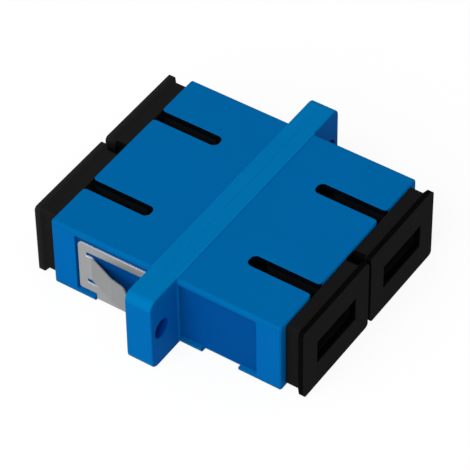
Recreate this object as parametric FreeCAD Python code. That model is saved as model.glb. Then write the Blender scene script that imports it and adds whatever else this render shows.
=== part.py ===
"""Duplex SC fibre adapter: flanged housing, inner latch parts, mounting clip and dust caps.

Millimetres. X runs along the flange, Y along the fibres, Z up with the keyways on top.
The origin is the centre of the body, on the weld plane between the two housing halves.
"""
import FreeCAD, Part
import math
import os

from FreeCAD import Vector

# ---- housing ------------------------------------------------------------------
BODY_WIDTH = 26.0            # X, both ports side by side
BODY_LENGTH = 28.5           # Y, end face to end face
BODY_HEIGHT = 9.2            # Z
BODY_EDGE_ROUND = 0.35       # long edges of the body
BODY_END_BREAK = 0.14        # bevel round each end face

FLANGE_LENGTH = 35.4         # X
FLANGE_THICKNESS = 3.2       # Y, both halves welded together
FLANGE_RAISE = 0.2           # the flange stands this much above and below the body
FLANGE_CORNER = 1.0
FLANGE_EDGE_BREAK = 0.1
SCREW_PITCH = 31.7
SCREW_HOLE_DIAMETER = 2.35

PORT_PITCH = 12.7            # SC duplex spacing
PORT_WIDTH = 9.2
PORT_HEIGHT = 7.6
PORT_CORNER = 0.3
PORT_LEAD_IN = 0.3

KEYWAY_WIDTH = 1.6
KEYWAY_START = 6.15          # inner end of the keyway, from the weld plane
KEYWAY_END_ROUND = 0.66
KEYWAY_MOUTH_ROUND = 0.55
KEYWAY_EDGE_BREAK = 0.06     # bevel round the keyway's rim on the top wall

RECESS_DEPTH = 0.45          # shallow pocket in each side wall that takes the clip
RECESS_FLANGE_LAND = 0.2     # side wall left standing between the recess and the flange
RECESS_END = 11.5            # from the weld plane
RECESS_BELOW_TOP = 0.65
RECESS_LIP_HEIGHT = 0.6
RECESS_CORNER = 0.25
STRAP_GROOVE_START = 4.45    # groove under the body for the clip's strap
STRAP_GROOVE_END = 9.05

# ---- latch carriers and sleeves -------------------------------------------------
CARRIER_BASE_WIDTH = 10.0
CARRIER_BASE_HEIGHT = 8.1
CARRIER_BASE_THICKNESS = 1.25
CARRIER_CORNER = 0.5
CARRIER_CLEARANCE = 0.08
SLEEVE_INNER_DIAMETER = 2.49
SLEEVE_OUTER_DIAMETER = 3.2
SLEEVE_LENGTH = 11.4
SLEEVE_SLIT = 0.5
SLEEVE_CLEARANCE = 0.1
BARREL_WALL = 0.75
BARREL_LIP = 0.45            # thickness of the lip that keeps the sleeve in
BARREL_MOUTH_DIAMETER = 2.84
BARREL_LEAD_IN = 0.35        # the mouth widens by this much on each side
BARREL_TIP_BREAK = 0.25
CLAW_REACH = 7.0             # tip of the claws, from the weld plane
CLAW_THICKNESS = 0.75
CLAW_HEIGHT = 3.4
CLAW_SIDE_GAP = 0.35         # room for a claw to flex outwards
CLAW_HOOK_DEPTH = 0.55
CLAW_HOOK_LENGTH = 1.3
CLAW_HOOK_LAND = 0.4         # flat on the point of the hook
CLAW_ROOT_ROUND = 0.4

# ---- mounting clip --------------------------------------------------------------
CLIP_SHEET = 0.25
CLIP_CLEARANCE = 0.05
CLIP_BEND_INSIDE = 0.1
CLIP_TOP = 3.2               # top edge of each side plate, above the centre
CLIP_BOTTOM = 3.5            # lower edge of each side plate, below the centre
CLIP_END_GAP = 0.45          # from the plate to the far end of its recess
CLIP_FLANGE_GAP = 0.1        # from the plate to the near end of its recess
CLIP_STRAP_GAP = 0.15        # strap to the sides of its groove
CLIP_CORNER = 0.55
FINGER_HALF_HEIGHT = 1.65
FINGER_SLOT = 0.6            # width of the slots above and below the finger
SLOT_END_SHARE = 0.45        # corner round at a slot's closed end, as a share of its width
FINGER_ROOT = 10.05          # closed end of the slots, from the weld plane
FINGER_BEND = 9.4            # where the finger starts to lean out
FINGER_TIP = 3.62            # free end, clear of a panel 2 mm thick on the flange
FINGER_FLARE = 1.85          # how far the tip stands out from the side wall
FINGER_KNEE = 0.604          # share of the length with the steeper lean
FINGER_KNEE_RISE = 0.774     # share of the flare reached at the knee
FINGER_KNEE_ROUND = 2.0
FINGER_TIP_ROUND = 0.9
ARM_TAPER = 0.13             # the upper arm narrows by this much towards the flange

# ---- dust caps --------------------------------------------------------------------
CAP_PLUG_CLEARANCE = 0.15    # plug to port wall, each side
CAP_PLUG_DEPTH = 6.75        # inside the port
CAP_PLUG_CORNER = 0.35
CAP_PLUG_LEAD_IN = 0.45
CAP_PLUG_NARROWING = 0.27    # each side, over the lead-in
CAP_SEAT_GAP = 0.05          # collar to the end face of the body
CAP_COLLAR_WIDTH = 11.5
CAP_COLLAR_HEIGHT = 8.6
CAP_COLLAR_LENGTH = 1.45
CAP_CORNER = 0.45
CAP_RIM_OVERHANG = 0.36      # the end plate stands this much beyond the collar
CAP_RIM_TAPER = 0.35
CAP_RIM_LAND = 0.42
CAP_RIM_LIP = 0.23
CAP_LAND_INSET = 0.06
CAP_POCKET_WIDTH = 7.35
CAP_POCKET_HEIGHT = 3.15
CAP_POCKET_DEPTH = 4.5
CAP_GROOVE_CLEARANCE = 0.4   # groove along the top of the plug, wider than the keyway on each side
CAP_GROOVE_DEPTH = 1.2

OVERRUN = 1.0                # how far a cutting solid passes the face that it opens
ON_PLANE = 1e-3              # an edge this near to a plane lies on it
SAME_POINT = 1e-6

HALF_WIDTH = BODY_WIDTH / 2
HALF_LENGTH = BODY_LENGTH / 2
HALF_HEIGHT = BODY_HEIGHT / 2
HALF_FLANGE = FLANGE_THICKNESS / 2
RECESS_START = HALF_FLANGE + RECESS_FLANGE_LAND
ENDS = {"front": -1, "rear": 1}
PORTS = {"left": -1, "right": 1}

PLANES = {
    "XZ": (lambda u, v: Vector(u, 0, v), Vector(0, 1, 0)),
    "YZ": (lambda u, v: Vector(0, u, v), Vector(1, 0, 0)),
    "XY": (lambda u, v: Vector(u, v, 0), Vector(0, 0, 1)),
}


def rounded_wire(corners, place):
    """Closed wire through (u, v, radius) corners, each rounded by a tangent arc."""
    count = len(corners)
    entries, exits, middles = [], [], []
    for index, (u, v, radius) in enumerate(corners):
        corner = place(u, v)
        before = place(*corners[index - 1][:2]) - corner
        after = place(*corners[(index + 1) % count][:2]) - corner
        before.normalize()
        after.normalize()
        half_angle = before.getAngle(after) / 2
        setback = radius / math.tan(half_angle)
        bisector = before + after
        if radius:
            bisector.normalize()
        entries.append(corner + before * setback)
        exits.append(corner + after * setback)
        middles.append(corner + bisector * (radius / math.sin(half_angle) - radius))
    edges = []
    for index in range(count):
        if corners[index][2]:
            edges.append(Part.Arc(entries[index], middles[index], exits[index]).toShape())
        start, end = exits[index], entries[(index + 1) % count]
        if start.distanceToPoint(end) > SAME_POINT:
            edges.append(Part.LineSegment(start, end).toShape())
    return Part.Wire(edges)


def prism(corners, plane, start, end):
    """Solid of a rounded outline, from start to end along the plane's normal."""
    place, normal = PLANES[plane]
    face = Part.Face(rounded_wire(corners, place))
    face.translate(normal * start)
    return face.extrude(normal * (end - start))


def rectangle(half_u, half_v, radius, centre_u=0.0, centre_v=0.0):
    """Corners of a rectangle for prism()."""
    return [
        (centre_u + sign_u * half_u, centre_v + sign_v * half_v, radius)
        for sign_u, sign_v in ((-1, -1), (1, -1), (1, 1), (-1, 1))
    ]


def bevelled_rectangle(half_u, half_v, bevel, centre_u=0.0):
    """Corners of a rectangle whose four corners are cut off at 45 degrees."""
    corners = []
    for sign_u, sign_v in ((-1, -1), (1, -1), (1, 1), (-1, 1)):
        along = (centre_u + sign_u * (half_u - bevel), sign_v * half_v, 0)
        across = (centre_u + sign_u * half_u, sign_v * (half_v - bevel), 0)
        corners += [along, across] if sign_u == sign_v * -1 else [across, along]
    return corners


def grown(corners, by, centre_u):
    """The same rectangle with each side moved out by a distance, or in if it is negative."""
    return [
        (u + math.copysign(1, u - centre_u) * by, v + math.copysign(1, v) * by, radius)
        for u, v, radius in corners
    ]


def taper(corners, by, centre_u, start, end):
    """Solid that grows from a rectangle at start to a larger one at end, along Y."""
    place = PLANES["XZ"][0]
    wires = []
    for outline, y in ((corners, start), (grown(corners, by, centre_u), end)):
        wire = rounded_wire(outline, place)
        wire.translate(Vector(0, y, 0))
        wires.append(wire)
    return Part.makeLoft(wires, True, True)


def bevel_where(shape, size, test):
    """Bevel the edges whose bounding box passes the test."""
    edges = [edge for edge in shape.Edges if test(edge.BoundBox)]
    return shape.makeChamfer(size, edges)


def mirror_x(shape):
    return shape.mirror(Vector(0, 0, 0), Vector(1, 0, 0))


def at_end(shape, end):
    """Parts are drawn for the rear end; the front ones are the same part turned round."""
    if ENDS[end] > 0:
        return shape
    turned = shape.copy()
    turned.rotate(Vector(0, 0, 0), Vector(0, 0, 1), 180)
    return turned


# ---- housing halves -----------------------------------------------------------------
def body_shell():
    """Outer block of one half, rounded along its edges, with its half of the flange."""
    block = prism(rectangle(HALF_WIDTH, HALF_HEIGHT, BODY_EDGE_ROUND), "XZ", 0, HALF_LENGTH)
    block = bevel_where(block, BODY_END_BREAK, lambda box: box.YMin > HALF_LENGTH - ON_PLANE)
    flange = prism(
        rectangle(FLANGE_LENGTH / 2, HALF_HEIGHT + FLANGE_RAISE, FLANGE_CORNER), "XZ", 0, HALF_FLANGE
    )
    flange = bevel_where(flange, FLANGE_EDGE_BREAK, lambda box: box.YMin > HALF_FLANGE - ON_PLANE)
    for side in PORTS.values():
        screw_hole = Part.makeCylinder(
            SCREW_HOLE_DIAMETER / 2,
            FLANGE_THICKNESS,
            Vector(side * SCREW_PITCH / 2, -HALF_FLANGE, 0),
            Vector(0, 1, 0),
        )
        flange = flange.cut(screw_hole)
    return block.fuse(flange)


def port_cavity(centre_x):
    """Space in one port: carrier pocket, plug cavity and the lead-in at its mouth."""
    pocket = prism(
        bevelled_rectangle(
            CARRIER_BASE_WIDTH / 2 + CARRIER_CLEARANCE,
            CARRIER_BASE_HEIGHT / 2 + CARRIER_CLEARANCE,
            CARRIER_CORNER,
            centre_x,
        ),
        "XZ",
        0,
        CARRIER_BASE_THICKNESS + CARRIER_CLEARANCE,
    )
    outline = rectangle(PORT_WIDTH / 2, PORT_HEIGHT / 2, PORT_CORNER, centre_x)
    cavity = prism(outline, "XZ", 0, HALF_LENGTH)
    lead_in = taper(outline, PORT_LEAD_IN, centre_x, HALF_LENGTH - PORT_LEAD_IN, HALF_LENGTH)
    return pocket.fuse([cavity, lead_in])


def keyway_outline(centre_x, wider):
    """Slot open at the end face, with a flared mouth, made wider by a distance on each side."""
    half = KEYWAY_WIDTH / 2 + wider
    inner_end = KEYWAY_START - wider
    past_end = HALF_LENGTH + OVERRUN
    flared = half + 2 * KEYWAY_MOUTH_ROUND
    return [
        (centre_x - half, inner_end, KEYWAY_END_ROUND + wider),
        (centre_x + half, inner_end, KEYWAY_END_ROUND + wider),
        (centre_x + half, HALF_LENGTH, KEYWAY_MOUTH_ROUND),
        (centre_x + flared, HALF_LENGTH, 0),
        (centre_x + flared, past_end, 0),
        (centre_x - flared, past_end, 0),
        (centre_x - flared, HALF_LENGTH, 0),
        (centre_x - half, HALF_LENGTH, KEYWAY_MOUTH_ROUND),
    ]


def keyway(centre_x):
    """Slot through the top wall, with a bevelled rim."""
    rim_start = HALF_HEIGHT - KEYWAY_EDGE_BREAK
    slot = prism(keyway_outline(centre_x, 0), "XY", 0, rim_start + OVERRUN)
    rim = prism(
        keyway_outline(centre_x, KEYWAY_EDGE_BREAK), "XY", rim_start, HALF_HEIGHT + OVERRUN
    )
    rim = bevel_where(rim, KEYWAY_EDGE_BREAK, lambda box: box.ZMax < rim_start + ON_PLANE)
    return slot.fuse(rim)


def side_recess():
    """Pocket in the +X side wall, with the gap in its lower lip for the clip's strap."""
    floor_x = HALF_WIDTH - RECESS_DEPTH
    past_wall = HALF_WIDTH + OVERRUN
    top = HALF_HEIGHT - RECESS_BELOW_TOP
    lip_top = -HALF_HEIGHT + RECESS_LIP_HEIGHT
    pocket = prism(
        [
            (RECESS_START, lip_top, 0),
            (RECESS_END, lip_top, RECESS_CORNER),
            (RECESS_END, top, RECESS_CORNER),
            (RECESS_START, top, 0),
        ],
        "YZ",
        floor_x,
        past_wall,
    )
    lip_gap = Part.makeBox(
        past_wall - floor_x,
        STRAP_GROOVE_END - STRAP_GROOVE_START,
        OVERRUN + RECESS_LIP_HEIGHT + RECESS_CORNER,
        Vector(floor_x, STRAP_GROOVE_START, -HALF_HEIGHT - OVERRUN),
    )
    return pocket.fuse(lip_gap)


def strap_groove():
    """Shallow groove across the underside, as deep as the side recesses."""
    return Part.makeBox(
        BODY_WIDTH + 2 * OVERRUN,
        STRAP_GROOVE_END - STRAP_GROOVE_START,
        RECESS_DEPTH + OVERRUN,
        Vector(-HALF_WIDTH - OVERRUN, STRAP_GROOVE_START, -HALF_HEIGHT - OVERRUN),
    )


def housing_half():
    shell = body_shell()
    cuts = [strap_groove(), side_recess(), mirror_x(side_recess())]
    for side in PORTS.values():
        cuts += [port_cavity(side * PORT_PITCH / 2), keyway(side * PORT_PITCH / 2)]
    for tool in cuts:
        shell = shell.cut(tool)
    return shell


# ---- latch carriers and split sleeves ---------------------------------------------------
def latch_carrier(centre_x):
    """Base plate, barrel for half of the split sleeve, and two flexing claws."""
    base = prism(
        bevelled_rectangle(CARRIER_BASE_WIDTH / 2, CARRIER_BASE_HEIGHT / 2, CARRIER_CORNER, centre_x),
        "XZ",
        0,
        CARRIER_BASE_THICKNESS,
    )
    bore_radius = SLEEVE_OUTER_DIAMETER / 2 + SLEEVE_CLEARANCE
    bore_end = SLEEVE_LENGTH / 2 + SLEEVE_CLEARANCE
    barrel_end = bore_end + BARREL_LIP
    axis = Vector(0, 1, 0)
    foot = Vector(centre_x, 0, 0)
    barrel = Part.makeCylinder(bore_radius + BARREL_WALL, barrel_end, foot, axis)
    barrel = bevel_where(barrel, BARREL_TIP_BREAK, lambda box: box.YMin > barrel_end - ON_PLANE)
    carrier = base.fuse(barrel)
    for side in PORTS.values():
        carrier = carrier.fuse(claw(centre_x, side))
    bore = Part.makeCylinder(bore_radius, bore_end, foot, axis)
    mouth_radius = BARREL_MOUTH_DIAMETER / 2
    mouth = Part.makeCone(
        mouth_radius, mouth_radius + BARREL_LEAD_IN, BARREL_LIP, foot + axis * bore_end, axis
    )
    return carrier.cut(bore).cut(mouth)


def claw(centre_x, side):
    """Cantilever arm whose hook points inwards, with a ramp that the plug rides over."""
    outer = PORT_WIDTH / 2 - CLAW_SIDE_GAP
    inner = outer - CLAW_THICKNESS
    hook = inner - CLAW_HOOK_DEPTH
    root = CARRIER_BASE_THICKNESS
    catch = CLAW_REACH - CLAW_HOOK_LENGTH
    points = [
        (outer, root / 2, 0),
        (outer, CLAW_REACH, 0),
        (inner + CLAW_THICKNESS / 3, CLAW_REACH, 0),
        (hook, catch + CLAW_HOOK_LAND, 0),
        (hook, catch, 0),
        (inner, catch, 0),
        (inner, root, CLAW_ROOT_ROUND),
        (inner - 2 * CLAW_ROOT_ROUND, root, 0),
        (inner - 2 * CLAW_ROOT_ROUND, root / 2, 0),
    ]
    placed = [(centre_x + side * x, y, radius) for x, y, radius in points]
    return prism(placed, "XY", -CLAW_HEIGHT / 2, CLAW_HEIGHT / 2)


def split_sleeve(centre_x):
    """Ceramic tube slit along its top, which centres two ferrules."""
    start = Vector(centre_x, -SLEEVE_LENGTH / 2, 0)
    axis = Vector(0, 1, 0)
    tube = Part.makeCylinder(SLEEVE_OUTER_DIAMETER / 2, SLEEVE_LENGTH, start, axis)
    tube = tube.cut(Part.makeCylinder(SLEEVE_INNER_DIAMETER / 2, SLEEVE_LENGTH, start, axis))
    slit = Part.makeBox(
        SLEEVE_SLIT,
        SLEEVE_LENGTH,
        SLEEVE_OUTER_DIAMETER,
        Vector(centre_x - SLEEVE_SLIT / 2, -SLEEVE_LENGTH / 2, 0),
    )
    return tube.cut(slit)


# ---- mounting clip --------------------------------------------------------------------------
def clip_side_plate():
    """Side plate on the +X wall: two arms and the lean-out finger between them."""
    inside = HALF_WIDTH - RECESS_DEPTH + CLIP_CLEARANCE
    outside = inside + CLIP_SHEET
    near_end = RECESS_START + CLIP_FLANGE_GAP
    far_end = RECESS_END - CLIP_END_GAP
    bend_top = -HALF_HEIGHT + RECESS_DEPTH - CLIP_CLEARANCE + CLIP_BEND_INSIDE
    plate = prism(
        [
            (near_end, -CLIP_BOTTOM, CLIP_CORNER / 2),
            (far_end, -CLIP_BOTTOM, CLIP_CORNER / 2),
            (far_end, CLIP_TOP, CLIP_CORNER),
            (near_end, CLIP_TOP, CLIP_CORNER / 2),
        ],
        "YZ",
        inside,
        outside,
    )
    skirt = Part.makeBox(
        CLIP_SHEET,
        STRAP_GROOVE_END - STRAP_GROOVE_START - 2 * CLIP_STRAP_GAP,
        -bend_top,
        Vector(inside, STRAP_GROOVE_START + CLIP_STRAP_GAP, bend_top),
    )
    centre = (CLIP_TOP - CLIP_BOTTOM) / 2
    window_half = FINGER_HALF_HEIGHT + FINGER_SLOT
    slot_round = FINGER_SLOT * SLOT_END_SHARE
    window = prism(
        [
            (near_end - OVERRUN, centre - window_half, 0),
            (FINGER_ROOT, centre - window_half, slot_round),
            (FINGER_ROOT, centre + window_half, slot_round),
            (near_end - OVERRUN, centre + window_half + ARM_TAPER, 0),
        ],
        "YZ",
        inside - OVERRUN,
        outside + OVERRUN,
    )
    finger_root = Part.makeBox(
        CLIP_SHEET + 2 * OVERRUN,
        FINGER_ROOT - FINGER_BEND,
        2 * FINGER_HALF_HEIGHT,
        Vector(inside - OVERRUN, FINGER_BEND, centre - FINGER_HALF_HEIGHT),
    )
    return plate.fuse(skirt).cut(window.cut(finger_root)).fuse(clip_finger(inside, centre))


def clip_finger(inside, centre):
    """Spring finger: a strip that leans out in two slopes and ends facing the flange."""
    run = FINGER_BEND - FINGER_TIP
    knee_y = FINGER_BEND - run * FINGER_KNEE
    knee_x = FINGER_FLARE * FINGER_KNEE_RISE
    spine = [
        (inside, FINGER_BEND, 0),
        (inside + knee_x, knee_y, FINGER_KNEE_ROUND),
        (inside + FINGER_FLARE, FINGER_TIP, 0),
    ]
    outer_side = [(x + CLIP_SHEET, y, radius) for x, y, radius in spine]
    lower, upper = centre - FINGER_HALF_HEIGHT, centre + FINGER_HALF_HEIGHT
    strip = prism(spine + outer_side[::-1], "XY", lower, upper)
    blank = prism(
        [
            (FINGER_TIP, lower, FINGER_TIP_ROUND),
            (FINGER_BEND, lower, 0),
            (FINGER_BEND, upper, 0),
            (FINGER_TIP, upper, FINGER_TIP_ROUND),
        ],
        "YZ",
        inside - OVERRUN,
        inside + FINGER_FLARE + OVERRUN,
    )
    return strip.common(blank)


def clip_strap():
    """Strap under the body, bent up at both ends into the side plates."""
    inside = HALF_WIDTH - RECESS_DEPTH + CLIP_CLEARANCE
    outside = inside + CLIP_SHEET
    top = -HALF_HEIGHT + RECESS_DEPTH - CLIP_CLEARANCE
    bottom = top - CLIP_SHEET
    rise = top + CLIP_BEND_INSIDE
    outer_bend = CLIP_BEND_INSIDE + CLIP_SHEET
    outline = [
        (-outside, rise, 0),
        (-outside, bottom, outer_bend),
        (outside, bottom, outer_bend),
        (outside, rise, 0),
        (inside, rise, 0),
        (inside, top, CLIP_BEND_INSIDE),
        (-inside, top, CLIP_BEND_INSIDE),
        (-inside, rise, 0),
    ]
    return prism(
        outline, "XZ", STRAP_GROOVE_START + CLIP_STRAP_GAP, STRAP_GROOVE_END - CLIP_STRAP_GAP
    )


def mounting_clip():
    side = clip_side_plate()
    return clip_strap().fuse([side, mirror_x(side)]).removeSplitter()


# ---- dust caps --------------------------------------------------------------------------------
def dust_cap(centre_x):
    """Grooved plug, collar against the end face, and an end plate with a stepped rim."""
    seat = HALF_LENGTH + CAP_SEAT_GAP
    plug_end = HALF_LENGTH - CAP_PLUG_DEPTH
    plug_outline = bevelled_rectangle(
        PORT_WIDTH / 2 - CAP_PLUG_CLEARANCE,
        PORT_HEIGHT / 2 - CAP_PLUG_CLEARANCE,
        CAP_PLUG_CORNER,
        centre_x,
    )
    tip_outline = grown(plug_outline, -CAP_PLUG_NARROWING, centre_x)
    tip_end = plug_end + CAP_PLUG_LEAD_IN
    tip = taper(tip_outline, CAP_PLUG_NARROWING, centre_x, plug_end, tip_end)
    plug = prism(plug_outline, "XZ", tip_end, seat)
    plug_top = PORT_HEIGHT / 2 - CAP_PLUG_CLEARANCE
    groove_half = KEYWAY_WIDTH / 2 + CAP_GROOVE_CLEARANCE
    groove = Part.makeBox(
        2 * groove_half,
        CAP_PLUG_DEPTH + CAP_SEAT_GAP,
        CAP_GROOVE_DEPTH,
        Vector(centre_x - groove_half, plug_end, plug_top - CAP_GROOVE_DEPTH),
    )
    collar_outline = rectangle(
        CAP_COLLAR_WIDTH / 2, CAP_COLLAR_HEIGHT / 2, CAP_CORNER, centre_x
    )
    collar_end = seat + CAP_COLLAR_LENGTH
    land_start = collar_end + CAP_RIM_TAPER
    land_end = land_start + CAP_RIM_LAND
    face = land_end + CAP_RIM_LIP
    collar = prism(collar_outline, "XZ", seat, collar_end)
    rim_taper = taper(collar_outline, CAP_RIM_OVERHANG, centre_x, collar_end, land_start)
    land_outline = grown(collar_outline, CAP_RIM_OVERHANG - CAP_LAND_INSET, centre_x)
    land = prism(land_outline, "XZ", land_start, land_end)
    lip = prism(grown(collar_outline, CAP_RIM_OVERHANG, centre_x), "XZ", land_end, face)
    cap = plug.fuse([tip, collar, rim_taper, land, lip])
    pocket = prism(
        rectangle(CAP_POCKET_WIDTH / 2, CAP_POCKET_HEIGHT / 2, 0, centre_x),
        "XZ",
        face - CAP_POCKET_DEPTH,
        face,
    )
    return cap.cut(pocket).cut(groove).removeSplitter()


def build():
    """All pieces by node name."""
    pieces = {"mounting_clip": mounting_clip()}
    half = housing_half()
    for end in ENDS:
        pieces["housing_" + end] = at_end(half, end)
        for port in PORTS:
            # a part turned round for the front end swaps left and right
            centre_x = PORTS[port] * ENDS[end] * PORT_PITCH / 2
            pieces[f"latch_carrier_{end}_{port}"] = at_end(latch_carrier(centre_x), end)
            pieces[f"dust_cap_{end}_{port}"] = at_end(dust_cap(centre_x), end)
    for port in PORTS:
        pieces["split_sleeve_" + port] = split_sleeve(PORTS[port] * PORT_PITCH / 2)
    return pieces


def main():
    os.makedirs("parts", exist_ok=True)
    for name, shape in build().items():
        shape.exportStep(f"parts/{name}.step")
        print(name, len(shape.Solids), "solid", shape.isValid(), round(shape.Volume, 3))


main()
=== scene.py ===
"""Looks of the duplex fibre adapter: blue moulded housing, steel clip and black dust caps.

Metres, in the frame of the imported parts: X along the flange, Y along the fibres, Z up.
"""
import logging
import math
from collections.abc import Callable
from dataclasses import dataclass, field
from enum import Enum

import bmesh
import bpy
from mathutils import Matrix, Vector


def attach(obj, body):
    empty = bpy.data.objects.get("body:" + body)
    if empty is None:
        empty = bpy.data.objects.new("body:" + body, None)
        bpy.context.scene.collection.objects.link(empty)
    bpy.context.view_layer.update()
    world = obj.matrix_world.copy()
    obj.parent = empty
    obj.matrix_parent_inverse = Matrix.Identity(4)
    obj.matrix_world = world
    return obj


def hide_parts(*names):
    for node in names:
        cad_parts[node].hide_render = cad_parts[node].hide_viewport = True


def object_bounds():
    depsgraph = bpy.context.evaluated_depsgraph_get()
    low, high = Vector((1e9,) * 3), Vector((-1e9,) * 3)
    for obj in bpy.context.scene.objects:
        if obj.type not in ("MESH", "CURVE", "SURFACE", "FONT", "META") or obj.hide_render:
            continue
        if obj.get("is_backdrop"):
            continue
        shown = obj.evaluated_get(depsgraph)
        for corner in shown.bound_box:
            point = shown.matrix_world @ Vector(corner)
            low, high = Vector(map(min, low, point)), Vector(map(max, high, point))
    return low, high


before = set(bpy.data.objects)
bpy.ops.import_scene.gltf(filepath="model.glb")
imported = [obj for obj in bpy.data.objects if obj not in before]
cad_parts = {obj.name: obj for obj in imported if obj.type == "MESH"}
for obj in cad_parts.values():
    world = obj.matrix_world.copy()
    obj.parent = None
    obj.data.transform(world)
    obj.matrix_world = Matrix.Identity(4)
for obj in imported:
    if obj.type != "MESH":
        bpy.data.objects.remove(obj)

LOG = logging.getLogger("fibre_adapter")
MM = 0.001
NEAR = 0.002 * MM          # points closer than this are one
FLAT = math.radians(1.0)   # faces that turn by less than this are one

# The Mix node's colour sockets go by number, because its other sockets share their names.
MIX_A, MIX_B, MIX_RESULT = 6, 7, 2


class End(Enum):
    """Which way an end of the adapter points along Y."""

    FRONT = -1
    REAR = 1


class Port(Enum):
    """Which side of the middle a port lies on, along X."""

    LEFT = -1
    RIGHT = 1


# ---- colours and nodes ------------------------------------------------------------
def srgb(code: str) -> tuple[float, float, float, float]:
    """Turns an sRGB hex colour into the linear colour a shader takes.

    Args:
        code: six hex digits with a leading hash.

    Returns:
        Linear red, green, blue and an alpha of 1.
    """
    levels = [int(code[start:start + 2], 16) / 255 for start in (1, 3, 5)]
    linear = [c / 12.92 if c <= 0.04045 else ((c + 0.055) / 1.055) ** 2.4 for c in levels]
    return (*linear, 1.0)


def add_node(tree: bpy.types.NodeTree, kind: str, settings: dict[str | int, object] | None = None,
             links: dict[str | int, bpy.types.NodeSocket] | None = None) -> bpy.types.Node:
    """Adds one node with its settings and links.

    Args:
        tree: the node tree that gets the node.
        kind: the node's type name.
        settings: attributes by name, and socket values by socket name or number.
        links: the output socket that feeds each input, by name or number.

    Returns:
        The new node.
    """
    node = tree.nodes.new(kind)
    for name, value in (settings or {}).items():
        if isinstance(name, str) and hasattr(node, name):
            setattr(node, name, value)
        else:
            node.inputs[name].default_value = value
    for name, socket in (links or {}).items():
        tree.links.new(socket, node.inputs[name])
    return node


def new_material(name: str) -> tuple[bpy.types.Material, bpy.types.NodeTree]:
    """Makes an empty node material.

    Args:
        name: the finish's common name.

    Returns:
        The material and its emptied node tree.
    """
    material = bpy.data.materials.new(name)
    material.use_nodes = True
    material.node_tree.nodes.clear()
    return material, material.node_tree


def ray_mask(tree: bpy.types.NodeTree, *kinds: str) -> bpy.types.NodeSocket:
    """Builds a mask that is 1 for rays of the given kinds.

    Args:
        tree: the node tree that gets the nodes.
        kinds: names of the Light Path node's outputs.

    Returns:
        The mask's socket.
    """
    path = add_node(tree, "ShaderNodeLightPath")
    mask = path.outputs[kinds[0]]
    for kind in kinds[1:]:
        mask = add_node(tree, "ShaderNodeMath", {"operation": "MAXIMUM"},
                        {0: mask, 1: path.outputs[kind]}).outputs[0]
    return mask


# ---- finishes -----------------------------------------------------------------------
@dataclass(frozen=True)
class ToneAndPaintedLightBox:
    """Box round a surface with a tone of its own, mirrored in all three planes. Most of these
    tones are painted light and shade, a few are the surface's own.
    """

    colour: str
    across_mm: tuple[float, float]     # least and greatest distance from the middle along X
    along_mm: tuple[float, float]      # the same along Y
    above_mm: tuple[float, float]      # the same along Z

    def mask(self, tree: bpy.types.NodeTree,
             place: bpy.types.NodeSocket) -> bpy.types.NodeSocket:
        """Builds a mask that is 1 inside the box.

        Args:
            tree: the material's nodes.
            place: Object coordinates.

        Returns:
            The mask's socket.
        """
        mirrored = add_node(tree, "ShaderNodeVectorMath", {"operation": "ABSOLUTE"}, {0: place})
        axes = add_node(tree, "ShaderNodeSeparateXYZ", links={"Vector": mirrored.outputs[0]})
        within = [
            add_node(tree, "ShaderNodeMath",
                     {"operation": "COMPARE", 1: (low + high) / 2 * MM, 2: (high - low) / 2 * MM},
                     {0: axis}).outputs[0]
            for axis, (low, high) in zip(axes.outputs,
                                         (self.across_mm, self.along_mm, self.above_mm))]
        inside = within[0]
        for limit in within[1:]:
            inside = add_node(tree, "ShaderNodeMath", {"operation": "MULTIPLY"},
                              {0: inside, 1: limit}).outputs[0]
        return inside


def tone_with_painted_light(tree: bpy.types.NodeTree, place: bpy.types.NodeSocket, colour: str,
                      painted_light_and_tones: tuple[ToneAndPaintedLightBox, ...]) -> bpy.types.NodeSocket:
    """Lays the tones of the boxes over a base colour; most of them are painted light and shade.

    Args:
        tree: the material's nodes.
        place: Object coordinates.
        colour: the base colour.
        painted_light_and_tones: the places with another tone. A later one lies over an earlier
            one.

    Returns:
        The colour's socket.
    """
    tone = add_node(tree, "ShaderNodeRGB").outputs[0]
    tone.default_value = srgb(colour)
    for tone_box in painted_light_and_tones:
        change = add_node(tree, "ShaderNodeMix",
                          {"data_type": "RGBA", MIX_B: srgb(tone_box.colour)},
                          {0: tone_box.mask(tree, place), MIX_A: tone})
        tone = change.outputs[MIX_RESULT]
    return tone


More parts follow.
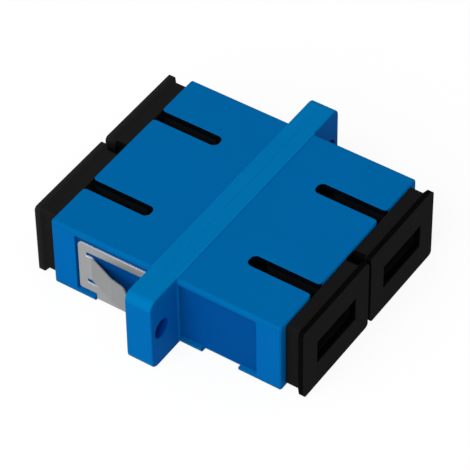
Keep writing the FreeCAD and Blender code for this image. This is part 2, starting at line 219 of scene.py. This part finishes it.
@dataclass(frozen=True)
class MouldedPlastic:
    """Injection moulded plastic with a spark eroded tool face."""

    name: str
    colour: str
    roughness: float
    specular: float
    gloss_tint: str = "#ffffff"
    painted_light_and_tones: tuple[ToneAndPaintedLightBox, ...] = ()
    cloud: float = 0.05                # how much lighter or darker the flow clouds are
    cloud_mm: float = 7.0              # size of the flow clouds
    grain_mm: float = 0.16             # the pits, coarser than the real 0.05 mm so that they show
    grain_height_mm: float = 0.004
    gloss_spread: tuple[float, float] = (-0.05, 0.07)      # added to the roughness by the clouds

    def material(self) -> bpy.types.Material:
        """Builds the shader: a clouded base colour, fine pits and uneven gloss.

        Returns:
            The finished material.
        """
        material, tree = new_material(self.name)
        place = add_node(tree, "ShaderNodeTexCoord").outputs["Object"]
        clouds = add_node(tree, "ShaderNodeTexNoise",
                          {"Scale": 1 / (self.cloud_mm * MM), "Detail": 3.0}, {"Vector": place})
        flow = add_node(tree, "ShaderNodeMapRange",
                        {"To Min": 1 - self.cloud, "To Max": 1 + self.cloud},
                        {"Value": clouds.outputs["Fac"]})
        # The base colour carries the boxes' tones, most of them painted light and shade.
        tone = add_node(tree, "ShaderNodeVectorMath", {"operation": "SCALE"},
                        {0: tone_with_painted_light(tree, place, self.colour, self.painted_light_and_tones),
                         "Scale": flow.outputs[0]})
        pits = add_node(tree, "ShaderNodeTexNoise",
                        {"Scale": 1 / (self.grain_mm * MM), "Detail": 2.0, "Roughness": 0.6},
                        {"Vector": place})
        gloss = add_node(tree, "ShaderNodeMapRange",
                         {"To Min": self.roughness + self.gloss_spread[0],
                          "To Max": self.roughness + self.gloss_spread[1]},
                         {"Value": clouds.outputs["Fac"]})
        bump = add_node(tree, "ShaderNodeBump",
                        {"Strength": 1.0, "Distance": self.grain_height_mm * MM},
                        {"Height": pits.outputs["Fac"]})
        shader = add_node(tree, "ShaderNodeBsdfPrincipled",
                          {"IOR": 1.5, "Specular IOR Level": self.specular,
                           "Specular Tint": srgb(self.gloss_tint)},
                          {"Base Color": tone.outputs[0], "Roughness": gloss.outputs[0],
                           "Normal": bump.outputs[0]})
        add_node(tree, "ShaderNodeOutputMaterial", links={"Surface": shader.outputs[0]})
        return material


@dataclass(frozen=True)
class RolledSteel:
    """Cold rolled stainless spring steel: fine lines along the rolling direction."""

    name: str = "rolled_spring_stainless_steel"
    colour: str = "#969898"
    painted_light_and_tones: tuple[ToneAndPaintedLightBox, ...] = (
        ToneAndPaintedLightBox("#888a8a", (12.87, 14.8), (3.0, 9.6), (0.0, 2.0)),     # painted shade on the fingers' faces
        ToneAndPaintedLightBox("#d8dcde", (12.6, 12.83), (1.7, 11.2), (0.0, 3.3)),    # painted highlight on the cut edges
    )
    roughness: float = 0.46
    metallic: float = 0.45
    line_mm: float = 0.09          # coarser than the real 0.01 mm so that the lines show
    line_height_mm: float = 0.002
    line_strength: float = 0.6
    stretch: float = 40.0          # how many times longer than wide a line is
    gloss_spread: tuple[float, float] = (-0.08, 0.12)      # added to the roughness by the lines

    def material(self) -> bpy.types.Material:
        """Builds the shader: long thin noise drives the roughness and a slight bump.

        Returns:
            The finished material.
        """
        material, tree = new_material(self.name)
        place = add_node(tree, "ShaderNodeTexCoord").outputs["Object"]
        along = add_node(tree, "ShaderNodeMapping",
                         {"Scale": (1.0, 1 / self.stretch, 1.0)}, {"Vector": place})
        lines = add_node(tree, "ShaderNodeTexNoise",
                         {"Scale": 1 / (self.line_mm * MM), "Detail": 2.0},
                         {"Vector": along.outputs[0]})
        gloss = add_node(tree, "ShaderNodeMapRange",
                         {"To Min": self.roughness + self.gloss_spread[0],
                          "To Max": self.roughness + self.gloss_spread[1]},
                         {"Value": lines.outputs["Fac"]})
        bump = add_node(tree, "ShaderNodeBump",
                        {"Strength": self.line_strength, "Distance": self.line_height_mm * MM},
                        {"Height": lines.outputs["Fac"]})
        # The base colour carries the boxes' tones: painted shade on the fingers and painted
        # highlights on the cut edges.
        shader = add_node(tree, "ShaderNodeBsdfPrincipled",
                          {"Metallic": self.metallic},
                          {"Base Color": tone_with_painted_light(tree, place, self.colour, self.painted_light_and_tones),
                           "Roughness": gloss.outputs[0], "Normal": bump.outputs[0]})
        add_node(tree, "ShaderNodeOutputMaterial", links={"Surface": shader.outputs[0]})
        return material


@dataclass(frozen=True)
class Zirconia:
    """Polished white zirconia ceramic."""

    name: str = "polished_zirconia"
    colour: str = "#e9e6de"
    roughness: float = 0.12
    uneven: float = 0.06           # how much duller it is in places
    cloud_mm: float = 1.5

    def material(self) -> bpy.types.Material:
        """Builds the shader: a hard gloss over a slightly uneven white.

        Returns:
            The finished material.
        """
        material, tree = new_material(self.name)
        place = add_node(tree, "ShaderNodeTexCoord").outputs["Object"]
        clouds = add_node(tree, "ShaderNodeTexNoise",
                          {"Scale": 1 / (self.cloud_mm * MM), "Detail": 2.0}, {"Vector": place})
        gloss = add_node(tree, "ShaderNodeMapRange",
                         {"To Min": self.roughness, "To Max": self.roughness + self.uneven},
                         {"Value": clouds.outputs["Fac"]})
        shader = add_node(tree, "ShaderNodeBsdfPrincipled",
                          {"Base Color": srgb(self.colour), "IOR": 2.1},
                          {"Roughness": gloss.outputs[0]})
        add_node(tree, "ShaderNodeOutputMaterial", links={"Surface": shader.outputs[0]})
        return material


# Spark eroded PBT: an even, deep blue with hardly any gloss. The boxes below paint light and shade
# into it: the side walls, the ears' ends and faces and the end faces get their own tones of the
# one blue, set for how each looks lit; the step gets a painted highlight; the screw holes, the
# clip recesses, the keyway walls and mouths and the strip between the caps get painted shade, the
# keyways nearly black. The flange is a little lighter, and the weld line is a little darker, a
# real joint.
BLUE_HOUSING = MouldedPlastic(
    "moulded_blue_pbt", "#0062a1", 0.48, 0.007, "#1060b0",
    painted_light_and_tones=(
        ToneAndPaintedLightBox("#0062a9", (12.9, 13.1), (0.0, 14.3), (0.0, 3.97)),       # painted light: the side walls' tone as they look lit
        ToneAndPaintedLightBox("#006eab", (0.0, 18.0), (0.0, 1.61), (0.0, 5.0)),         # flange
        ToneAndPaintedLightBox("#0065aa", (17.6, 18.0), (0.0, 1.61), (0.0, 3.8)),        # painted light: the ears' ends' tone as they look lit
        ToneAndPaintedLightBox("#0061ae", (13.0, 17.7), (1.595, 1.61), (0.0, 4.8)),      # painted shade: the ears' faces' tone as they look in shade
        ToneAndPaintedLightBox("#0080c0", (0.0, 12.9), (1.5, 1.61), (4.5, 4.8)),         # painted highlight on the step to the body
        ToneAndPaintedLightBox("#006ba6", (0.0, 16.0), (0.0, 0.05), (0.0, 5.0)),         # weld line
        ToneAndPaintedLightBox("#003f98", (14.6, 17.1), (0.0, 1.58), (0.0, 1.25)),       # painted shade in the screw holes
        ToneAndPaintedLightBox("#004b90", (12.5, 12.62), (1.6, 11.6), (0.0, 3.97)),      # painted shade on the clip recesses' floors
        ToneAndPaintedLightBox("#006ab0", (0.0, 13.0), (14.24, 14.3), (0.0, 4.6)),       # painted light: the end faces' tone as they look lit
        ToneAndPaintedLightBox("#00080f", (5.5, 7.2), (6.0, 14.3), (3.7, 4.54)),         # painted shadow: keyway walls nearly black
        ToneAndPaintedLightBox("#00080f", (4.9, 7.8), (13.5, 14.2), (3.7, 4.54)),        # painted shadow at the keyway mouths
        ToneAndPaintedLightBox("#000810", (0.0, 0.72), (14.05, 14.3), (0.0, 4.36)),      # painted shade on the end face between the caps
    ))
# Painted shade: the plug's groove seen down a keyway and the collars' inner sides between the caps
# are nearly black.
PAINTED_SHADE_PLUG_GROOVE = ToneAndPaintedLightBox("#060606", (5.2, 7.5), (7.0, 14.3), (2.2, 3.7))
PAINTED_SHADE_COLLAR_INNER_SIDE = ToneAndPaintedLightBox("#070707", (0.0, 0.95), (14.2, 15.75), (0.0, 4.27))
# Soft polyethylene: a black without shine. The rear caps get the lighter copy of it, with painted
# highlights on the rims' slope and edge.
REAR_CAP = MouldedPlastic(
    "moulded_black_polyethylene", "#1a1a1a", 0.5, 0.004,
    painted_light_and_tones=(
        ToneAndPaintedLightBox("#1e1e1e", (0.0, 13.0), (15.72, 16.3), (0.0, 5.0)),       # painted highlight on the rim's slope
        ToneAndPaintedLightBox("#222222", (0.0, 13.0), (16.4, 16.74), (0.0, 5.0)),       # painted highlight on the rim's edge
        PAINTED_SHADE_PLUG_GROOVE, PAINTED_SHADE_COLLAR_INNER_SIDE))
# The darker copy of the same black, with painted shade: a near-black band round the rim that
# frames the front face.
FRONT_CAP = MouldedPlastic(
    "moulded_black_polyethylene_dark_rim", "#171717", 0.5, 0.004,
    painted_light_and_tones=(
        ToneAndPaintedLightBox("#060606", (0.0, 13.0), (15.95, 16.62), (0.0, 5.0)),      # painted shade on the rim's side
        PAINTED_SHADE_PLUG_GROOVE, PAINTED_SHADE_COLLAR_INNER_SIDE))
# PBT with carbon black: nothing pale shows through a keyway, and an open port looks dark.
CHARCOAL_CARRIER = MouldedPlastic("moulded_charcoal_pbt", "#17181a", 0.48, 0.1)
# Cold rolled strip: a pale, even grey, with fine lines along the strip, painted shade on the
# fingers and painted highlights on the cut edges.
SPRING_STEEL = RolledSteel()
# Ground and polished ceramic: ivory white with a hard gloss, seen only past the claws.
CERAMIC = Zirconia()


# ---- meshes ---------------------------------------------------------------------------
def finish_piece(mesh: bmesh.types.BMesh, name: str, body: str, nodes: list[str],
                 material: bpy.types.Material, smooth_deg: float = 35.0) -> bpy.types.Object:
    """Turns a bmesh into a piece that rides on a body in place of its plain solids.

    Args:
        mesh: the shape in metres, in place. It is freed.
        name: the piece's name.
        body: the body that it moves with.
        nodes: the plain solids that it stands for.
        material: its finish.
        smooth_deg: edges flatter than this are shaded smooth.

    Returns:
        The new object.
    """
    data = bpy.data.meshes.new(name)
    mesh.to_mesh(data)
    mesh.free()
    piece = bpy.data.objects.new(name, data)
    bpy.context.scene.collection.objects.link(piece)
    data.materials.append(material)
    data.shade_smooth()
    data.set_sharp_from_angle(angle=math.radians(smooth_deg))
    piece.modifiers.new("flat_faces_stay_flat", "WEIGHTED_NORMAL").keep_sharp = True
    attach(piece, body)
    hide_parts(*nodes)
    return piece


def round_edges(mesh: bmesh.types.BMesh, width_mm: float, segments: int = 2,
                sharp_deg: float = 25.0) -> None:
    """Rounds the sharp edges of a mesh.

    Args:
        mesh: the shape.
        width_mm: how wide the rounding is.
        segments: how many faces the rounding has.
        sharp_deg: edges that turn by more than this are rounded.
    """
    limit = math.radians(sharp_deg)
    sharp = [e for e in mesh.edges if len(e.link_faces) == 2 and e.calc_face_angle() > limit]
    bmesh.ops.bevel(mesh, geom=sharp, offset=width_mm * MM, offset_type="OFFSET",
                    affect="EDGES", segments=segments, profile=0.5, material=-1,
                    clamp_overlap=True)


def joined_copy(node: str, reshape: Callable[[bmesh.types.BMesh], None] | None = None
                ) -> bmesh.types.BMesh:
    """Copies a solid's mesh and joins the triangles of its flat faces.

    Args:
        node: the solid's name.
        reshape: changes the merged copy before its faces are joined.

    Returns:
        The mesh, in place.
    """
    mesh = bmesh.new()
    mesh.from_mesh(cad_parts[node].data)
    bmesh.ops.remove_doubles(mesh, verts=mesh.verts, dist=NEAR)
    if reshape is not None:
        reshape(mesh)
    bmesh.ops.dissolve_limit(mesh, angle_limit=FLAT, verts=mesh.verts, edges=mesh.edges,
                             delimit=set())
    return mesh


# ---- sub-assemblies -----------------------------------------------------------------
@dataclass
class Housing:
    """The two moulded halves, welded at the middle of the flange."""

    edge_mm: float = 0.06
    recess_end_mm: float = 11.5                                # along Y
    recess_taken_in_mm: float = 0.2
    recess_corner_mm: float = 0.3                              # takes in all of its round corners
    recess_across_mm: tuple[float, float] = (12.5, 13.01)      # from its floor to the side wall
    recess_half_height_mm: float = 4.1
    finish: MouldedPlastic = BLUE_HOUSING

    def build(self) -> list[bpy.types.Object]:
        """Builds both halves.

        Returns:
            The two pieces.
        """
        material = self.finish.material()
        pieces = []
        for end in End:
            node = f"housing_{end.name.lower()}"
            mesh = joined_copy(node)
            self.take_in_recess(mesh)
            round_edges(mesh, self.edge_mm)
            pieces.append(finish_piece(mesh, f"moulded_{node}", "housing", [node],
                                       material))
        return pieces

    def take_in_recess(self, mesh: bmesh.types.BMesh) -> None:
        """Brings the far end of each clip recess nearer to the clip.

        Args:
            mesh: a housing half, before its edges are rounded.
        """
        floor, wall = self.recess_across_mm
        for vert in mesh.verts:
            across, along, above = (abs(distance) / MM for distance in vert.co)
            at_end = abs(along - self.recess_end_mm) < self.recess_corner_mm
            if at_end and floor < across < wall and above < self.recess_half_height_mm:
                vert.co.y -= math.copysign(self.recess_taken_in_mm * MM, vert.co.y)


@dataclass
class LatchCarriers:
    """Four inner mouldings with the latch claws and half a sleeve barrel each."""

    edge_mm: float = 0.05
    finish: MouldedPlastic = CHARCOAL_CARRIER

    def build(self) -> list[bpy.types.Object]:
        """Builds the four carriers.

        Returns:
            The four pieces.
        """
        material = self.finish.material()
        pieces = []
        for end in End:
            for port in Port:
                node = f"latch_carrier_{end.name.lower()}_{port.name.lower()}"
                mesh = joined_copy(node)
                round_edges(mesh, self.edge_mm)
                pieces.append(finish_piece(mesh, f"moulded_{node}", "housing", [node],
                                           material))
        return pieces


@dataclass
class SplitSleeves:
    """Two slit ceramic tubes that centre the ferrules."""

    edge_mm: float = 0.06
    finish: Zirconia = CERAMIC

    def build(self) -> list[bpy.types.Object]:
        """Builds both sleeves.

        Returns:
            The two pieces.
        """
        material = self.finish.material()
        pieces = []
        for port in Port:
            node = f"split_sleeve_{port.name.lower()}"
            mesh = joined_copy(node)
            round_edges(mesh, self.edge_mm)
            pieces.append(finish_piece(mesh, f"ground_{node}", "housing", [node],
                                       material))
        return pieces


@dataclass
class MountingClip:
    """The steel clip round the rear half, with its two spring fingers."""

    edge_mm: float = 0.05
    finish: RolledSteel = SPRING_STEEL

    def build(self) -> list[bpy.types.Object]:
        """Builds the clip.

        Returns:
            The piece in a list.
        """
        mesh = joined_copy("mounting_clip")
        round_edges(mesh, self.edge_mm)
        return [finish_piece(mesh, "stamped_mounting_clip", "housing", ["mounting_clip"],
                             self.finish.material())]


@dataclass
class DustCaps:
    """Four plugs that keep dust out of the ports."""

    edge_mm: float = 0.06
    rim_start_mm: float = 16.1      # where the rim's side starts, along Y
    lip_start_mm: float = 16.52     # where the lip stands out from it
    finishes: dict[End, MouldedPlastic] = field(
        default_factory=lambda: {End.FRONT: FRONT_CAP, End.REAR: REAR_CAP})

    def build(self) -> list[bpy.types.Object]:
        """Builds the four caps.

        Returns:
            The four pieces.
        """
        pieces = []
        for end in End:
            material = self.finishes[end].material()
            for port in Port:
                place = f"{end.name.lower()}_{port.name.lower()}"
                node = f"dust_cap_{place}"
                mesh = joined_copy(node, self.level_rim)
                round_edges(mesh, self.edge_mm)
                pieces.append(finish_piece(mesh, f"moulded_{node}", f"cap_{place}", [node],
                                           material))
        return pieces

    def level_rim(self, mesh: bmesh.types.BMesh) -> None:
        """Brings the rim's side level with its lip, so that it catches the light as one face.

        Args:
            mesh: the cap, before its flat faces are joined.
        """
        start, step = ([vert for vert in mesh.verts if abs(abs(vert.co.y) - level * MM) < NEAR]
                       for level in (self.rim_start_mm, self.lip_start_mm))
        on_lip = [vert for vert in step
                  if any(abs(edge.other_vert(vert).co.y) > abs(vert.co.y) + NEAR
                         for edge in vert.link_edges)]
        for vert in [vert for vert in step if vert not in on_lip]:
            shift = min((lip.co - vert.co for lip in on_lip), key=lambda gap: gap.length)
            below = [low for low in start
                     if abs(low.co.x - vert.co.x) < NEAR and abs(low.co.z - vert.co.z) < NEAR]
            for moved in (vert, *below):
                moved.co += shift
        bmesh.ops.remove_doubles(mesh, verts=mesh.verts, dist=NEAR)


@dataclass
class Studio:
    """Pale floor, even light, one soft lamp and the camera."""

    azimuth_deg: float = -55.54
    elevation_deg: float = 44.98
    roll_deg: float = -0.884
    distance_mm: float = 322.0
    shift_mm: tuple[float, float] = (0.003, 0.477)
    lens_mm: float = 233.95
    sensor_mm: float = 36.0
    clip_m: tuple[float, float] = (0.01, 20.0)
    floor_size_m: float = 3.0
    floor_gap_mm: float = 0.02
    paper: str = "#d8d8d8"
    paper_share: float = 0.15      # how much of the floor's look is lit paper
    glow: float = 1.06             # the rest of it, so that the floor shows white
    ambient: float = 0.46
    key_power_w: float = 3.3
    key_size_m: float = 0.5
    key_distance_m: float = 0.6
    key_from: tuple[float, float, float] = (-0.72, 0.0, 0.69)

    def build(self, low: Vector) -> None:
        """Builds the floor, the world, the lamp and the camera.

        Args:
            low: the object's lowest corner.
        """
        self.floor(low.z - self.floor_gap_mm * MM)
        self.world()
        self.key_lamp()
        self.camera()

    def floor(self, height: float) -> None:
        """Lays a pale floor that shows white and keeps a soft shadow.

        Args:
            height: its level.
        """
        mesh = bmesh.new()
        bmesh.ops.create_grid(mesh, x_segments=2, y_segments=2, size=self.floor_size_m / 2)
        bmesh.ops.translate(mesh, vec=Vector((0, 0, height)), verts=mesh.verts)
        data = bpy.data.meshes.new("studio_floor")
        mesh.to_mesh(data)
        mesh.free()
        floor = bpy.data.objects.new("studio_floor", data)
        bpy.context.scene.collection.objects.link(floor)
        material, tree = new_material("white_paper_sweep")
        paper = add_node(tree, "ShaderNodeBsdfDiffuse", {"Color": srgb(self.paper)})
        glow = add_node(tree, "ShaderNodeEmission",
                        {"Color": srgb("#ffffff"), "Strength": self.glow})
        glow_share = add_node(tree, "ShaderNodeMath",
                              {"operation": "MULTIPLY", 1: 1 - self.paper_share},
                              {0: ray_mask(tree, "Is Camera Ray", "Is Glossy Ray")})
        mix = add_node(tree, "ShaderNodeMixShader",
                       links={0: glow_share.outputs[0], 1: paper.outputs[0], 2: glow.outputs[0]})
        add_node(tree, "ShaderNodeOutputMaterial", links={"Surface": mix.outputs[0]})
        data.materials.append(material)
        floor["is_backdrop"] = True

    def world(self) -> None:
        """Sets even soft light that shows white behind the object."""
        world = bpy.data.worlds.new("studio_world")
        bpy.context.scene.world = world
        world.use_nodes = True
        tree = world.node_tree
        tree.nodes.clear()
        seen = ray_mask(tree, "Is Camera Ray", "Is Glossy Ray", "Is Transmission Ray")
        strength = add_node(tree, "ShaderNodeMapRange", {"To Min": self.ambient, "To Max": 1.0},
                            {"Value": seen})
        light = add_node(tree, "ShaderNodeBackground", {"Color": srgb("#ffffff")},
                         {"Strength": strength.outputs[0]})
        add_node(tree, "ShaderNodeOutputWorld", links={"Surface": light.outputs[0]})

    def key_lamp(self) -> None:
        """Hangs a large soft lamp above and to the left, turned to the object."""
        data = bpy.data.lights.new("key_softbox", "AREA")
        data.shape = "SQUARE"
        data.size = self.key_size_m
        data.energy = self.key_power_w
        lamp = bpy.data.objects.new("key_softbox", data)
        bpy.context.scene.collection.objects.link(lamp)
        direction = Vector(self.key_from).normalized()
        lamp.rotation_euler = direction.to_track_quat("Z", "Y").to_euler()
        lamp.location = direction * self.key_distance_m

    def camera(self) -> None:
        """Places the camera above and to the left of the front caps."""
        azimuth, elevation = math.radians(self.azimuth_deg), math.radians(self.elevation_deg)
        back = Vector((math.sin(azimuth) * math.cos(elevation),
                       -math.cos(azimuth) * math.cos(elevation), math.sin(elevation)))
        ahead = -back
        right = ahead.cross(Vector((0, 0, 1))).normalized()
        up = right.cross(ahead)
        turn = Matrix.Rotation(math.radians(self.roll_deg), 3, back)
        right, up = turn @ right, turn @ up
        place = -(right * self.shift_mm[0] + up * self.shift_mm[1] + ahead * self.distance_mm) * MM
        data = bpy.data.cameras.new("studio_camera")
        data.lens = self.lens_mm
        data.sensor_width = self.sensor_mm
        data.clip_start, data.clip_end = self.clip_m
        camera = bpy.data.objects.new("studio_camera", data)
        bpy.context.scene.collection.objects.link(camera)
        camera.matrix_world = Matrix.Translation(place) @ Matrix(
            (right, up, back)).transposed().to_4x4()
        bpy.context.scene.camera = camera


def main() -> None:
    """Builds each sub-assembly in order, logs each piece, and sets up the studio under the solids'
    lowest corner.
    """
    logging.basicConfig(level=logging.INFO, format="%(name)s: %(message)s")
    solid_low, solid_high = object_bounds()
    for group in (Housing(), LatchCarriers(), SplitSleeves(), MountingClip(), DustCaps()):
        for piece in group.build():
            LOG.info("%s: %s with %d faces", type(group).__name__, piece.name,
                     len(piece.data.polygons))
    Studio().build(solid_low)
    bpy.context.scene.view_settings.view_transform = "Standard"


if __name__ == "__main__":
    main()
